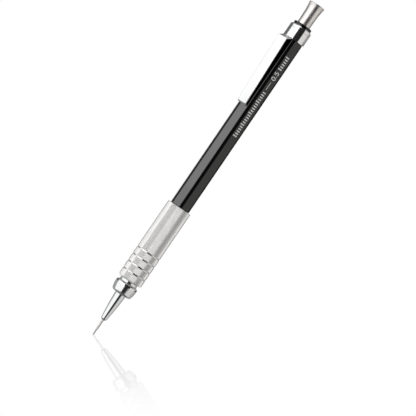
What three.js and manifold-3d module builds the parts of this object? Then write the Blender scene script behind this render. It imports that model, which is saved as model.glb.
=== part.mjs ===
// A 0.5 mm drafting mechanical pencil: hexagonal plastic barrel, metal grip, metal tip with a fixed
// lead sleeve, spring clip, and a push button over an eraser. Millimetres, +Z up.
// The origin is the lead's writing point and Z is the pencil's long axis, so the button is on top.
// Every piece is turned about Z, except the hexagonal barrel, the jaws, the clip and the spring.

import * as THREE from 'three';
import { mergeVertices } from 'three/addons/utils/BufferGeometryUtils.js';
import Module from 'manifold-3d';

const wasm = await Module();
wasm.setup();

// ---------------------------------------------------------------- driving dimensions

const ROUND = 32; // sides of a large round piece
const ROUND_MEDIUM = 24; // sides of an inner round piece
const ROUND_SMALL = 16; // sides of a thin round piece
const FIT_GAP = 0.02; // radial gap of a press fit

const LEAD = { radius: 0.28, length: 58 };
const SPARE_LEADS = { count: 3, length: 57, bottom: 52, ringRadius: 0.95 };

const SLEEVE = { radius: 0.45, bore: 0.31, front: 2.4, rear: 13.2 };

const TIP = {
  nose: 6.4, // the cone's front face
  noseEnd: 7.4, // where the rounded nose meets the long taper
  noseRounding: 0.7,
  taperMiddle: 12.4, // where the taper bulges most
  taperEnd: 18.0, // where the long taper meets the flange
  flangeEnd: 22.9, // rear of the flange
  neckEnd: 23.9, // where the neck meets the grip
  spigotEnd: 30.0, // rear of the threaded spigot inside the barrel
  noseRadius: 1.24,
  taperMiddleRadius: 1.8,
  taperRadius: 2.2,
  flangeFootRadius: 4.1, // where the flange's rounded front meets its side
  flangeFootRounding: 1.0,
  flangeRadius: 4.5,
  flangeHeadRounding: 0.65,
  neckRadius: 3.65,
  spigotRadius: 2.95,
  threadDepth: 0.22,
  threadPitch: 1.0,
  threadRunout: 0.9, // plain length between the neck and the first ridge
  shoulder: 19.6, // the step inside that stops the clutch ring
  jawSpaceRadius: 1.75,
  pocketRadius: 2.4,
};

const RETAINER = { radius: 1.0, bore: 0.31, front: 13.5, rear: 16.4, pocketRadius: 1.05 };

const GRIP = {
  front: 23.95,
  rear: 56.65,
  radius: 4.88,
  frontChamfer: 0.5,
  rearChamfer: 0.2,
  bore: 3.85,
  lipBore: 3.1, // the front face closes in to this radius
  lipThickness: 0.75,
  grooves: 4,
  firstGroove: 27.08,
  groovePitch: 3.09,
  grooveWidth: 0.64,
  grooveFloor: 0.46,
  grooveDepth: 0.14,
};

const BARREL = {
  acrossFlats: 7.8,
  cornerWidth: 1.2, // the narrow flat that takes off each corner
  hexFront: 56.7,
  hexRear: 130.85,
  tenonFront: 24.8,
  tenonRadius: 3.75,
  tenonChamfer: 0.2,
  bossRadius: 3.72,
  bossEnd: 136.6,
  rimRadius: 3.68,
  rimEnd: 137.7,
  rimChamfer: 0.15,
  bore: 2.85,
  counterbore: 3.05, // takes the tip's spigot and the mechanism's flange
  counterboreEnd: 31.4,
  flatTurn: THREE.MathUtils.degToRad(13), // from the clip's direction to the nearest flat
};

const HOUSING = {
  front: 23.0,
  rear: 42.6,
  radius: 2.3,
  bore: 2.0,
  frontWall: 2.3,
  frontBore: 1.2,
  flangeFront: 30.2,
  flangeRear: 31.2,
  flangeRadius: 2.98,
  frontChamfer: 0.2,
  rearLeadIn: 0.4, // length of the flared mouth that lets the spring in
  rearBore: 2.1,
};

const CLUTCH = {
  front: 21.0,
  rear: 22.9,
  radius: 2.2,
  chamfer: 0.15,
  mouth: 1.46,
  throat: 1.1,
  throatFront: 22.6,
};

const JAWS = {
  count: 3,
  front: 20.6,
  rear: 28.4,
  headRadius: 1.4,
  headChamfer: 0.3,
  headRear: 21.1,
  coneRear: 22.7,
  coneRearRadius: 1.04,
  fingerFront: 22.8,
  fingerRadius: 0.92,
  bore: 0.31,
  slit: 0.2,
};

const STEM = { front: 28.6, rear: 44.5, radius: 0.95, bore: 0.36 };

const CONNECTOR = {
  front: 40.6,
  flangeRear: 42.0,
  flangeRadius: 1.9,
  bodyFront: 42.2,
  bodyRadius: 1.75,
  stemBore: 0.98,
  stemSeat: 44.6,
  stopFront: 46.6,
  stopRadius: 1.96,
  bossFront: 47.1,
  bossRadius: 1.72,
  rear: 50.0,
  funnelFront: 45.2,
  funnelThroat: 0.38,
  funnelMouth: 1.45,
};

const RESERVOIR = { front: 47.2, rear: 135.4, radius: 2.2, bore: 1.78 };

const SPRING = { front: 25.4, rear: 40.5, coilRadius: 1.55, wireRadius: 0.17, turns: 11, stepsPerTurn: 12 };

const ERASER = { bottom: 127.0, top: 144.9, radius: 1.7, chamfer: 0.35 };

const BUTTON = {
  bottom: 131.0,
  radius: 2.72,
  bore: 2.32,
  boreChamfer: 0.4,
  flareStart: 143.1,
  flareMiddle: 145.35,
  flareMiddleRadius: 2.95,
  flareEnd: 146.4,
  flareRadius: 3.2,
  top: 146.8,
  topChamfer: 0.2,
  topThickness: 0.6,
};

const CLIP = {
  bandFront: 130.95,
  bandRear: 135.0,
  bandBore: 3.8,
  bandRadius: 4.4,
  width: 4.2,
  thickness: 0.5,
  rootGap: 0.1, // between the arm's root and the band
  rootTop: 131.1, // level of the band's front edge
  kneeRadius: 6.55, // the blade's outer face at its top
  kneeZ: 130.05, // level where the shoulder turns down into the blade
  kneeBend: 0.4,
  heelRadius: 5.05,
  heelZ: 101.65, // where the blade turns in to its foot
  footRadius: 4.55,
  footZ: 101.2,
  footInnerRadius: 4.25, // keeps the foot's tip clear of the barrel
};

const COLLAR = {
  front: 135.05,
  chamferFront: 136.1,
  rear: 136.5,
  bore: 3.8,
  radius: 4.4,
  rearRadius: 4.0,
};

// ---------------------------------------------------------------- materials

function material(color, roughness, metalness) {
  return new THREE.MeshStandardMaterial({ color, roughness, metalness });
}

const MATERIALS = {
  chrome: material(0xd9dadb, 0.08, 1.0),
  sleeveSteel: material(0xb4aeaa, 0.3, 1.0),
  grip: material(0xbdbbb8, 0.42, 1.0),
  blackPlastic: material(0x0d0d0e, 0.12, 0.0),
  brass: material(0xc9a557, 0.3, 1.0),
  springSteel: material(0x9da0a3, 0.28, 1.0),
  darkPlastic: material(0x26282b, 0.5, 0.0),
  rubber: material(0x1c1c1c, 0.85, 0.0),
  eraser: material(0xeeebe4, 0.8, 0.0),
  graphite: material(0x3a3b3e, 0.45, 0.3),
  button: material(0xd8d2cb, 0.14, 1.0),
};

// ---------------------------------------------------------------- building blocks

// Drops what isn't position and welds the vertices, so that the surface is one closed mesh.
function weld(geometry) {
  geometry.deleteAttribute('normal');
  geometry.deleteAttribute('uv');
  return mergeVertices(geometry, 1e-5);
}

// Turns a profile of [radius, z] points about Z. The profile is closed on itself, or starts and ends
// on the axis, and runs up the outside first.
function turned(profile, sides) {
  const points = profile.map(([radius, z]) => new THREE.Vector2(radius, z));
  const geometry = new THREE.LatheGeometry(points, sides);
  geometry.rotateX(Math.PI / 2);
  return weld(geometry);
}

// A turned piece with a hole through it: the outside runs from front to rear, the bore back again.
function turnedTube(outside, bore, sides) {
  return turned([...outside, ...bore, outside[0]], sides);
}

function plainTube(front, rear, radius, bore, sides) {
  return turnedTube([[radius, front], [radius, rear]], [[bore, rear], [bore, front]], sides);
}

// The [radius, z] points of a smooth curve through the given ones.
function curved(points, steps) {
  const curve = new THREE.SplineCurve(points.map(([radius, z]) => new THREE.Vector2(radius, z)));
  return curve.getPoints(steps).map((point) => [point.x, point.y]);
}

// Points along an arc in the radius-z plane, angles in degrees from the outward direction.
function arc(centreRadius, centreZ, radius, fromDegrees, toDegrees, steps) {
  return Array.from({ length: steps + 1 }, (_, i) => {
    const angle = THREE.MathUtils.degToRad(fromDegrees + ((toDegrees - fromDegrees) * i) / steps);
    return [centreRadius + radius * Math.cos(angle), centreZ + radius * Math.sin(angle)];
  });
}

// A shape drawn in XY, raised from z = bottom to z = top.
function raised(shape, bottom, top, curveSegments) {
  const geometry = new THREE.ExtrudeGeometry(shape, {
    depth: top - bottom,
    bevelEnabled: false,
    curveSegments,
  });
  geometry.translate(0, 0, bottom);
  return weld(geometry);
}

function toSolid(geometry) {
  return new wasm.Manifold(new wasm.Mesh({
    numProp: 3,
    vertProperties: new Float32Array(geometry.attributes.position.array),
    triVerts: new Uint32Array(geometry.index.array),
  }));
}

function toGeometry(solid) {
  const mesh = solid.getMesh();
  const geometry = new THREE.BufferGeometry();
  geometry.setAttribute('position', new THREE.BufferAttribute(new Float32Array(mesh.vertProperties), 3));
  geometry.setIndex(new THREE.BufferAttribute(new Uint32Array(mesh.triVerts), 1));
  return geometry;
}

// ---------------------------------------------------------------- lead and tip

function leadStick(bottom, length) {
  const top = bottom + length;
  return turned([[0, bottom], [LEAD.radius, bottom], [LEAD.radius, top], [0, top]], 12);
}

function leadSleeve() {
  return plainTube(SLEEVE.front, SLEEVE.rear, SLEEVE.radius, SLEEVE.bore, ROUND_SMALL);
}

// Rounded nose, long slightly bulging taper, wide flange, neck, then a threaded spigot.
// The thread is drawn as plain ridges.
function tipCone() {
  const nose = arc(TIP.noseRadius - TIP.noseRounding, TIP.noseEnd, TIP.noseRounding, -60, 0, 3);
  const taper = curved([
    [TIP.noseRadius, TIP.noseEnd],
    [TIP.taperMiddleRadius, TIP.taperMiddle],
    [TIP.taperRadius, TIP.taperEnd],
  ], 5);
  const footCentre = TIP.flangeFootRadius - TIP.flangeFootRounding;
  const footLevel = TIP.taperEnd + 0.1 + TIP.flangeFootRounding;
  const flangeFoot = arc(footCentre, footLevel, TIP.flangeFootRounding, -90, -15, 4);
  const headCentre = TIP.flangeRadius - TIP.flangeHeadRounding;
  const headLevel = TIP.flangeEnd - 0.2 - TIP.flangeHeadRounding;
  const flangeHead = arc(headCentre, headLevel, TIP.flangeHeadRounding, 10, 60, 3);
  const thread = [];
  const root = TIP.spigotRadius - TIP.threadDepth;
  for (let z = TIP.neckEnd + TIP.threadRunout; z < TIP.spigotEnd - TIP.threadPitch; z += TIP.threadPitch) {
    thread.push([root, z], [TIP.spigotRadius, z + TIP.threadPitch / 2]);
  }
  const sleeveHole = SLEEVE.radius + FIT_GAP;
  const retainerPocketEnd = RETAINER.rear + 0.1;
  const outside = [
    [sleeveHole, TIP.nose],
    ...nose,
    ...taper.slice(1),
    ...flangeFoot,
    ...flangeHead,
    [TIP.neckRadius, TIP.flangeEnd],
    [TIP.neckRadius, TIP.neckEnd],
    [root, TIP.neckEnd],
    ...thread,
    [root, TIP.spigotEnd],
  ];
  const bore = [
    [TIP.pocketRadius, TIP.spigotEnd],
    [TIP.pocketRadius, TIP.shoulder],
    [TIP.jawSpaceRadius, TIP.shoulder],
    [TIP.jawSpaceRadius, retainerPocketEnd],
    [RETAINER.pocketRadius, retainerPocketEnd],
    [RETAINER.pocketRadius, SLEEVE.rear + 0.1],
    [sleeveHole, SLEEVE.rear + 0.1],
  ];
  return turnedTube(outside, bore, ROUND);
}

function leadRetainer() {
  return plainTube(RETAINER.front, RETAINER.rear, RETAINER.radius, RETAINER.bore, ROUND_SMALL);
}

// ---------------------------------------------------------------- grip and barrel

function metalGrip() {
  const outside = [
    [GRIP.radius - GRIP.frontChamfer, GRIP.front],
    [GRIP.radius, GRIP.front + GRIP.frontChamfer],
  ];
  const floorRadius = GRIP.radius - GRIP.grooveDepth;
  for (let i = 0; i < GRIP.grooves; i += 1) {
    const centre = GRIP.firstGroove + i * GRIP.groovePitch;
    outside.push(
      [GRIP.radius, centre - GRIP.grooveWidth / 2],
      [floorRadius, centre - GRIP.grooveFloor / 2],
      [floorRadius, centre + GRIP.grooveFloor / 2],
      [GRIP.radius, centre + GRIP.grooveWidth / 2],
    );
  }
  outside.push([GRIP.radius, GRIP.rear - GRIP.rearChamfer], [GRIP.radius - GRIP.rearChamfer, GRIP.rear]);
  const bore = [
    [GRIP.bore, GRIP.rear],
    [GRIP.bore, GRIP.front + GRIP.lipThickness],
    [GRIP.lipBore, GRIP.front + GRIP.lipThickness],
    [GRIP.lipBore, GRIP.front],
  ];
  return turnedTube(outside, bore, ROUND);
}

// A hexagon whose corners are cut off by narrow flats. The first side faces the direction `turn`.
function hexagon(acrossFlats, cornerWidth, turn) {
  const sixth = Math.PI / 3;
  const apothem = acrossFlats / 2;
  const halfSide = apothem * Math.tan(sixth / 2) - cornerWidth / 2 / Math.cos(sixth / 2);
  const points = [];
  for (let side = 0; side < 6; side += 1) {
    const along = new THREE.Vector2(0, 1).rotateAround(new THREE.Vector2(), turn + side * sixth);
    const middle = new THREE.Vector2(apothem, 0).rotateAround(new THREE.Vector2(), turn + side * sixth);
    for (const end of [-halfSide, halfSide]) {
      points.push(middle.clone().addScaledVector(along, end));
    }
  }
  return new THREE.Shape(points);
}

// One moulding: a round tenon inside the grip, the hexagonal body, a round boss under the clip band
// and collar, and a bore for the mechanism right through it.
function hexBarrel() {
  const clipDirection = Math.PI;
  const shape = hexagon(BARREL.acrossFlats, BARREL.cornerWidth, clipDirection + BARREL.flatTurn);
  const hexBody = toSolid(raised(shape, BARREL.hexFront, BARREL.hexRear, 1));
  const insideHex = BARREL.hexFront + 1;
  const core = toSolid(turned([
    [0, BARREL.tenonFront],
    [BARREL.tenonRadius - BARREL.tenonChamfer, BARREL.tenonFront],
    [BARREL.tenonRadius, BARREL.tenonFront + BARREL.tenonChamfer],
    [BARREL.tenonRadius, insideHex],
    [BARREL.bossRadius, insideHex],
    [BARREL.bossRadius, BARREL.bossEnd],
    [BARREL.rimRadius, BARREL.bossEnd],
    [BARREL.rimRadius, BARREL.rimEnd - BARREL.rimChamfer],
    [BARREL.rimRadius - BARREL.rimChamfer, BARREL.rimEnd],
    [0, BARREL.rimEnd],
  ], ROUND));
  const hole = toSolid(turned([
    [0, BARREL.tenonFront - 1],
    [BARREL.counterbore, BARREL.tenonFront - 1],
    [BARREL.counterbore, BARREL.counterboreEnd],
    [BARREL.bore, BARREL.counterboreEnd],
    [BARREL.bore, BARREL.rimEnd + 1],
    [0, BARREL.rimEnd + 1],
  ], ROUND));
  return toGeometry(hexBody.add(core).subtract(hole));
}

// ---------------------------------------------------------------- feed mechanism

// The tube that holds the spring. Its flange is trapped between the tip's spigot and the barrel.
function springHousing() {
  const outside = [
    [HOUSING.radius - HOUSING.frontChamfer, HOUSING.front],
    [HOUSING.radius, HOUSING.front + HOUSING.frontChamfer],
    [HOUSING.radius, HOUSING.flangeFront],
    [HOUSING.flangeRadius, HOUSING.flangeFront],
    [HOUSING.flangeRadius, HOUSING.flangeRear],
    [HOUSING.radius, HOUSING.flangeRear],
    [HOUSING.radius, HOUSING.rear],
  ];
  const bore = [
    [HOUSING.rearBore, HOUSING.rear],
    [HOUSING.bore, HOUSING.rear - HOUSING.rearLeadIn],
    [HOUSING.bore, HOUSING.front + HOUSING.frontWall],
    [HOUSING.frontBore, HOUSING.front + HOUSING.frontWall],
    [HOUSING.frontBore, HOUSING.front],
  ];
  return turnedTube(outside, bore, ROUND);
}

// The ring whose tapered mouth closes the jaws on the lead.
function clutchRing() {
  const outside = [
    [CLUTCH.radius - CLUTCH.chamfer, CLUTCH.front],
    [CLUTCH.radius, CLUTCH.front + CLUTCH.chamfer],
    [CLUTCH.radius, CLUTCH.rear - CLUTCH.chamfer],
    [CLUTCH.radius - CLUTCH.chamfer, CLUTCH.rear],
  ];
  const bore = [
    [CLUTCH.throat, CLUTCH.rear],
    [CLUTCH.throat, CLUTCH.throatFront],
    [CLUTCH.mouth, CLUTCH.front],
  ];
  return turnedTube(outside, bore, ROUND);
}

// One of the chuck's fingers: a third of a turned tube with a tapered head, less half a slit a side.
function chuckJaw(index) {
  const tube = toSolid(turnedTube(
    [
      [JAWS.headRadius - JAWS.headChamfer, JAWS.front],
      [JAWS.headRadius, JAWS.front + JAWS.headChamfer],
      [JAWS.headRadius, JAWS.headRear],
      [JAWS.coneRearRadius, JAWS.coneRear],
      [JAWS.fingerRadius, JAWS.fingerFront],
      [JAWS.fingerRadius, JAWS.rear],
    ],
    [[JAWS.bore, JAWS.rear], [JAWS.bore, JAWS.front]],
    ROUND_MEDIUM,
  ));
  const reach = 2 * JAWS.headRadius;
  const halfAngle = Math.PI / JAWS.count;
  const middle = jawDirection(index);
  const apex = JAWS.slit / 2 / Math.sin(halfAngle);
  const wedge = new THREE.Shape();
  wedge.moveTo(apex * Math.cos(middle), apex * Math.sin(middle));
  wedge.lineTo(
    apex * Math.cos(middle) + reach * Math.cos(middle - halfAngle),
    apex * Math.sin(middle) + reach * Math.sin(middle - halfAngle),
  );
  wedge.lineTo(
    apex * Math.cos(middle) + reach * Math.cos(middle + halfAngle),
    apex * Math.sin(middle) + reach * Math.sin(middle + halfAngle),
  );
  wedge.closePath();
  const sector = toSolid(raised(wedge, JAWS.front - 1, JAWS.rear + 1, 1));
  return toGeometry(tube.intersect(sector));
}

function jawDirection(index) {
  return (index * 2 * Math.PI) / JAWS.count;
}

function chuckStem() {
  return plainTube(STEM.front, STEM.rear, STEM.radius, STEM.bore, ROUND_SMALL);
}

// The spring's rear seat, which also joins the stem to the lead reservoir and funnels leads down.
function reservoirConnector() {
  const outside = [
    [CONNECTOR.flangeRadius, CONNECTOR.front],
    [CONNECTOR.flangeRadius, CONNECTOR.flangeRear],
    [CONNECTOR.bodyRadius, CONNECTOR.bodyFront],
    [CONNECTOR.bodyRadius, CONNECTOR.stopFront],
    [CONNECTOR.stopRadius, CONNECTOR.stopFront],
    [CONNECTOR.stopRadius, CONNECTOR.bossFront],
    [CONNECTOR.bossRadius, CONNECTOR.bossFront],
    [CONNECTOR.bossRadius, CONNECTOR.rear],
  ];
  const bore = [
    [CONNECTOR.funnelMouth, CONNECTOR.rear],
    [CONNECTOR.funnelThroat, CONNECTOR.funnelFront],
    [CONNECTOR.funnelThroat, CONNECTOR.stemSeat],
    [CONNECTOR.stemBore, CONNECTOR.stemSeat],
    [CONNECTOR.stemBore, CONNECTOR.front],
  ];
  return turnedTube(outside, bore, ROUND_MEDIUM);
}

function leadReservoir() {
  return plainTube(RESERVOIR.front, RESERVOIR.rear, RESERVOIR.radius, RESERVOIR.bore, ROUND_MEDIUM);
}

function spareLead(index) {
  const angle = (index * 2 * Math.PI) / SPARE_LEADS.count + Math.PI / 6;
  const geometry = leadStick(SPARE_LEADS.bottom, SPARE_LEADS.length);
  geometry.translate(SPARE_LEADS.ringRadius * Math.cos(angle), SPARE_LEADS.ringRadius * Math.sin(angle), 0);
  return geometry;
}

class Helix extends THREE.Curve {
  constructor(radius, bottom, top, turns) {
    super();
    Object.assign(this, { radius, bottom, top, turns });
  }

  getPoint(t, target = new THREE.Vector3()) {
    const angle = 2 * Math.PI * this.turns * t;
    const z = this.bottom + (this.top - this.bottom) * t;
    return target.set(this.radius * Math.cos(angle), this.radius * Math.sin(angle), z);
  }
}

function returnSpring() {
  const wire = new THREE.Shape();
  wire.absarc(0, 0, SPRING.wireRadius, 0, 2 * Math.PI, false);
  const bottom = SPRING.front + SPRING.wireRadius;
  const top = SPRING.rear - SPRING.wireRadius;
  return weld(new THREE.ExtrudeGeometry(wire, {
    steps: SPRING.turns * SPRING.stepsPerTurn,
    curveSegments: 3,
    extrudePath: new Helix(SPRING.coilRadius, bottom, top, SPRING.turns),
  }));
}

// ---------------------------------------------------------------- eraser and button

function eraser() {
  const edge = ERASER.radius - ERASER.chamfer;
  return turned([
    [0, ERASER.bottom],
    [edge, ERASER.bottom],
    [ERASER.radius, ERASER.bottom + ERASER.chamfer],
    [ERASER.radius, ERASER.top - ERASER.chamfer],
    [edge, ERASER.top],
    [0, ERASER.top],
  ], ROUND_MEDIUM);
}

// A cap with a straight skirt that flares to a wide flat top. It's open at the bottom.
function pushButton() {
  const ceiling = BUTTON.top - BUTTON.topThickness;
  const flare = curved([
    [BUTTON.radius, BUTTON.flareStart],
    [BUTTON.flareMiddleRadius, BUTTON.flareMiddle],
    [BUTTON.flareRadius, BUTTON.flareEnd],
  ], 6);
  return turned([
    [0, ceiling],
    [BUTTON.bore - BUTTON.boreChamfer, ceiling],
    [BUTTON.bore, ceiling - BUTTON.boreChamfer],
    [BUTTON.bore, BUTTON.bottom],
    [BUTTON.radius, BUTTON.bottom],
    ...flare,
    [BUTTON.flareRadius, BUTTON.top - BUTTON.topChamfer],
    [BUTTON.flareRadius - BUTTON.topChamfer, BUTTON.top],
    [0, BUTTON.top],
  ], ROUND_MEDIUM);
}

// ---------------------------------------------------------------- clip and collar

function clipBand() {
  return plainTube(CLIP.bandFront, CLIP.bandRear, CLIP.bandRadius, CLIP.bandBore, ROUND);
}

// The arm is one bent strip: a short shoulder sloping out from the band, then a long blade that leans
// back towards the barrel and ends in a foot turned inwards. It stands on the -X side.
function clipArm() {
  const innerKnee = CLIP.kneeRadius - CLIP.thickness;
  const outline = new THREE.Shape([
    [CLIP.bandBore, CLIP.rootTop],
    [CLIP.bandRadius, CLIP.rootTop],
    [CLIP.kneeRadius - CLIP.kneeBend, CLIP.kneeZ + CLIP.kneeBend],
    [CLIP.kneeRadius, CLIP.kneeZ - CLIP.kneeBend],
    [CLIP.heelRadius, CLIP.heelZ],
    [CLIP.footRadius, CLIP.footZ],
    [CLIP.footInnerRadius, CLIP.footZ + CLIP.thickness / 2],
    [CLIP.heelRadius - CLIP.thickness, CLIP.heelZ + CLIP.thickness],
    [innerKnee, CLIP.kneeZ - CLIP.kneeBend],
    [innerKnee - CLIP.kneeBend, CLIP.kneeZ + CLIP.kneeBend - CLIP.thickness],
    [CLIP.bandRadius, CLIP.rootTop - CLIP.thickness],
    [CLIP.bandBore, CLIP.rootTop - CLIP.thickness],
  ].map(([radius, z]) => new THREE.Vector2(radius, z)));
  const strip = raised(outline, -CLIP.width / 2, CLIP.width / 2, 1);
  strip.rotateX(Math.PI / 2);
  strip.rotateZ(Math.PI);
  const rootRadius = CLIP.bandRadius + CLIP.rootGap;
  const aboveArm = CLIP.rootTop + 1;
  const belowRoot = CLIP.rootTop - 2;
  const clearance = toSolid(turned(
    [[0, belowRoot], [rootRadius, belowRoot], [rootRadius, aboveArm], [0, aboveArm]],
    ROUND,
  ));
  return toGeometry(toSolid(strip).subtract(clearance));
}

// The ring that closes the band's rear edge.
function endCollar() {
  const outside = [
    [COLLAR.radius, COLLAR.front],
    [COLLAR.radius, COLLAR.chamferFront],
    [COLLAR.rearRadius, COLLAR.rear],
  ];
  return turnedTube(outside, [[COLLAR.bore, COLLAR.rear], [COLLAR.bore, COLLAR.front]], ROUND);
}

// ---------------------------------------------------------------- the pencil

const pencil = new THREE.Group();

function add(name, geometry, look) {
  const mesh = new THREE.Mesh(geometry, look);
  mesh.name = name;
  pencil.add(mesh);
}

add('writing_lead', leadStick(0, LEAD.length), MATERIALS.graphite);
add('lead_sleeve', leadSleeve(), MATERIALS.sleeveSteel);
add('tip_cone', tipCone(), MATERIALS.chrome);
add('lead_retainer', leadRetainer(), MATERIALS.rubber);
add('metal_grip', metalGrip(), MATERIALS.grip);
add('hex_barrel', hexBarrel(), MATERIALS.blackPlastic);
add('spring_housing', springHousing(), MATERIALS.brass);
add('clutch_ring', clutchRing(), MATERIALS.brass);
for (let i = 0; i < JAWS.count; i += 1) {
  add(`chuck_jaw_${i + 1}`, chuckJaw(i), MATERIALS.brass);
}
add('chuck_stem', chuckStem(), MATERIALS.brass);
add('return_spring', returnSpring(), MATERIALS.springSteel);
add('reservoir_connector', reservoirConnector(), MATERIALS.darkPlastic);
add('lead_reservoir', leadReservoir(), MATERIALS.darkPlastic);
for (let i = 0; i < SPARE_LEADS.count; i += 1) {
  add(`spare_lead_${i + 1}`, spareLead(i), MATERIALS.graphite);
}
add('eraser', eraser(), MATERIALS.eraser);
add('push_button', pushButton(), MATERIALS.button);
add('clip_band', clipBand(), MATERIALS.chrome);
add('clip_arm', clipArm(), MATERIALS.chrome);
add('end_collar', endCollar(), MATERIALS.chrome);

export default pencil;
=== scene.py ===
"""The looks of a drafting mechanical pencil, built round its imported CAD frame.

The frame stands the pencil on its writing point with +Z up its long axis and the clip on the -X side.
Lengths that are named here are in millimetres; Blender's own units are metres.
"""

import math

import bmesh
import bpy
from mathutils import Matrix, Vector


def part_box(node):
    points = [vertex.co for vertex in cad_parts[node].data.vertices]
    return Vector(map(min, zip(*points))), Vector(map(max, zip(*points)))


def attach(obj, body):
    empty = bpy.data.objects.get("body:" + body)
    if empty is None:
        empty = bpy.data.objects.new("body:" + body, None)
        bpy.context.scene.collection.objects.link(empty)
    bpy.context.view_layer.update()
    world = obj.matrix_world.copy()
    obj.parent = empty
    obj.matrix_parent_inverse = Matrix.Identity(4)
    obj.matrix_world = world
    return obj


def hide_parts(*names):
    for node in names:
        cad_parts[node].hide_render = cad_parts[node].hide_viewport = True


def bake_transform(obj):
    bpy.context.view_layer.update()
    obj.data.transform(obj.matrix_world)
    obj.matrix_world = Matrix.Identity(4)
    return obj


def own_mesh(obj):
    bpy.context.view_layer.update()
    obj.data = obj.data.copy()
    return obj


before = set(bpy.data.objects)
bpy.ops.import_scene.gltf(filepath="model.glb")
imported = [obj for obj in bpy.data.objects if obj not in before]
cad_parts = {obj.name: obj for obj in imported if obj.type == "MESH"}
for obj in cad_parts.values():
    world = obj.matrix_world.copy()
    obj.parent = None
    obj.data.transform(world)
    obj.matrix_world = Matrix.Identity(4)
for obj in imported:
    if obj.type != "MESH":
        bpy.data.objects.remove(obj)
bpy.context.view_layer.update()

MM = 0.001
TAU = 2 * math.pi

# ------------------------------------------------------------------ design values, in mm

LARGE_SIDES = 144  # round pieces seen from outside
SMALL_SIDES = 72  # thin and inner round pieces

EDGE = 0.09  # rounding of a machined edge
FINE_EDGE = 0.03  # rounding on the smallest pieces
SHARP_ANGLE = math.radians(38)  # edges that turn more than this are shaded sharp

ACROSS_FLATS = 7.8
CORNER_WIDTH = 1.2  # the narrow flat that takes off each corner of the hexagon
CORNER_EDGE = 0.65  # rounding where the narrow flats meet the wide ones
HEX_BEVEL = 0.15
TENON_RADIUS = 3.75  # the grip slides over the tenon
BOSS_RADIUS = 3.72  # the band and the collar slide over the boss
RIM_RADIUS = 3.68
BORE_RADIUS = 2.85
COUNTERBORE_RADIUS = 3.05
COUNTERBORE_END = 31.4
END_CHAMFER = 0.2
GRIP_GAP = 0.05  # from the grip's rear end to the hexagon
BAND_GAP = 0.1  # from the hexagon to the clip band, and from the collar to the rim
FLAT_TURN = math.radians(13)  # from the clip's direction to the nearest flat
CLIP_DIRECTION = math.pi

THREAD_START = 24.8
THREAD_END = 28.9
THREAD_PITCH = 0.7
THREAD_DEPTH = 0.24
THREAD_STEP = 0.07  # between the sections that the thread is drawn through
THREAD_MARGINS = (0.1, 0.2)  # how far before and after it the CAD's own ridges are dropped
SPIGOT_RADIUS = 2.95
SPIGOT_WALL = 0.5  # less than the spigot's wall, so that the bore is told from the outside

GROOVE_DEPTH = 0.14  # the grip's grooves are polished and its lands are blasted
GROOVE_POLISH = 0.012  # how far a groove's bright floor stands above the blasted one
FLOOR_TOLERANCE = 0.02  # how near to the floor's radius an outline point counts as floor

CLIP_WIDTH = 4.2
CLIP_THICKNESS = 0.5
CLIP_CORNER = 0.16  # rounding of the strip's long edges
CLIP_ROOT_RADIUS = 4.5  # where the strip leaves the band
CLIP_KNEE_DROP = 1.25  # the knee's height below the root
CLIP_HEEL = (1.5, 0.45)  # the heel's place: inwards from the knee, and up from the foot
CLIP_FOOT = (2.03, 0.05)  # and the foot's

SPRING_TURNS = 11
SPRING_WIRE = 0.17

PRINT_DEPTH = 0.02
PRINT_STROKE = 0.34
FLAG_STROKE = 0.32  # the five's upper strokes are a little thinner
RULE_WIDTH = 0.22
BAR_WIDTH = 0.5
BAR_ROWS = ((-24.7, 20), (4.7, 6))  # each row's first bar and its count; the bars are 1 mm apart
SHORT_BAR = 0.8  # the height of all but every fifth bar, as a share of the characters'
RULE_ENDS = (-4.4, -1.1)
PRINT_HEIGHT = 1.75
PRINT_START = 114.5  # where the characters begin, along the barrel
PRINT_ASIDE = 0.3  # how far they sit off the flat's centre line

# ------------------------------------------------------------------ camera and studio

CAMERA_AZIMUTH = math.radians(-52)
CAMERA_DISTANCE = 720 * MM
LEAN = math.radians(34.24)  # how far the pencil leans to the right of upright in the picture
FRAME_WIDTH = 153.26 * MM  # what the picture spans at the pencil
AIM_HEIGHT = 62.36 * MM  # the picture's centre, along the pencil
AIM_ASIDE = 8.8 * MM  # and beside it, to the right


# ------------------------------------------------------------------ outlines


def ends(node):
    """Front z, rear z and greatest radius of a node, in mm."""
    low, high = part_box(node)
    return low.z / MM, high.z / MM, max(high.x, high.y) / MM


def cad_outline(node):
    """The (radius, z) outline of a turned CAD node in mm, read along its seam at -Y.

    A hollow piece gives a closed loop, and a solid one a path from axis to axis.
    """
    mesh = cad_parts[node].data
    key_of = {}
    for vertex in mesh.vertices:
        x, y, z = vertex.co
        if abs(x) < 2e-6 and y < 1e-6:
            key_of[vertex.index] = (round(-y / MM, 4) + 0.0, round(z / MM, 4))
    neighbours = {}
    for edge in mesh.edges:
        a, b = (key_of.get(i) for i in edge.vertices)
        if a and b and a != b:
            neighbours.setdefault(a, set()).add(b)
            neighbours.setdefault(b, set()).add(a)
    for key in list(neighbours):
        on_axis = [other for other in neighbours[key] if key[0] < 1e-3 and other[0] < 1e-3]
        neighbours[key] -= set(on_axis)
    open_ends = sorted((k for k in neighbours if len(neighbours[k]) == 1), key=lambda k: k[1])
    start = open_ends[0] if open_ends else min(neighbours, key=lambda k: (k[1], -k[0]))
    path, previous = [start], None
    while True:
        here = path[-1]
        onward = sorted((k for k in neighbours[here] if k != previous), key=lambda k: (-k[0], k[1]))
        if not onward or onward[0] == start:
            return path
        previous = here
        path.append(onward[0])


def turn_angle(before, here, after):
    """How sharply a path turns at a point, in radians."""
    incoming, outgoing = here - before, after - here
    if incoming.length < 1e-9 or outgoing.length < 1e-9:
        return 0.0
    return incoming.angle(outgoing)


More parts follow.
